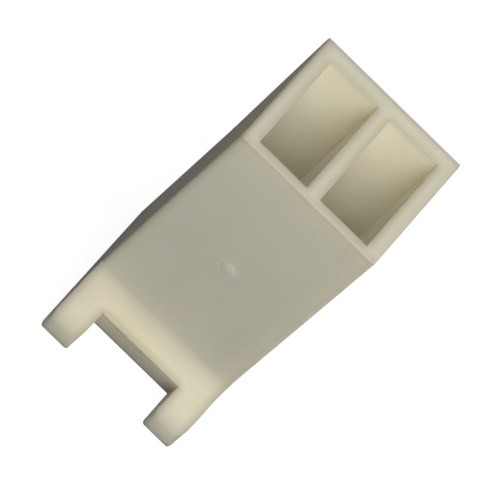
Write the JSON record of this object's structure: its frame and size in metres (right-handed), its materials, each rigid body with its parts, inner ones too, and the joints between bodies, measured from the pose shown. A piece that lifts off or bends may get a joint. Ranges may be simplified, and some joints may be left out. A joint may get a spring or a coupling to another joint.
{
  "type": "wire to board connector housing",
  "caption": "Moulded crimp-terminal housing in natural nylon: flared wire-entry end, locking ledge and ramp at the mating end, and a guide leg on each side of the ramp.",
  "frame": {"origin": "bottom centre of the outline, on the mating face, between the two circuits", "axes": "+Z from the mating face to the wire-entry end, X along the circuit row, -Y towards the side with the locking ledge and legs"},
  "size_m": [0.0088, 0.011, 0.0183],
  "materials": {
    "nylon": "natural, slightly translucent nylon with a fine moulded surface"
  },
  "bodies": {
    "root": {"housing": "nylon"}
  },
  "joints": []
}
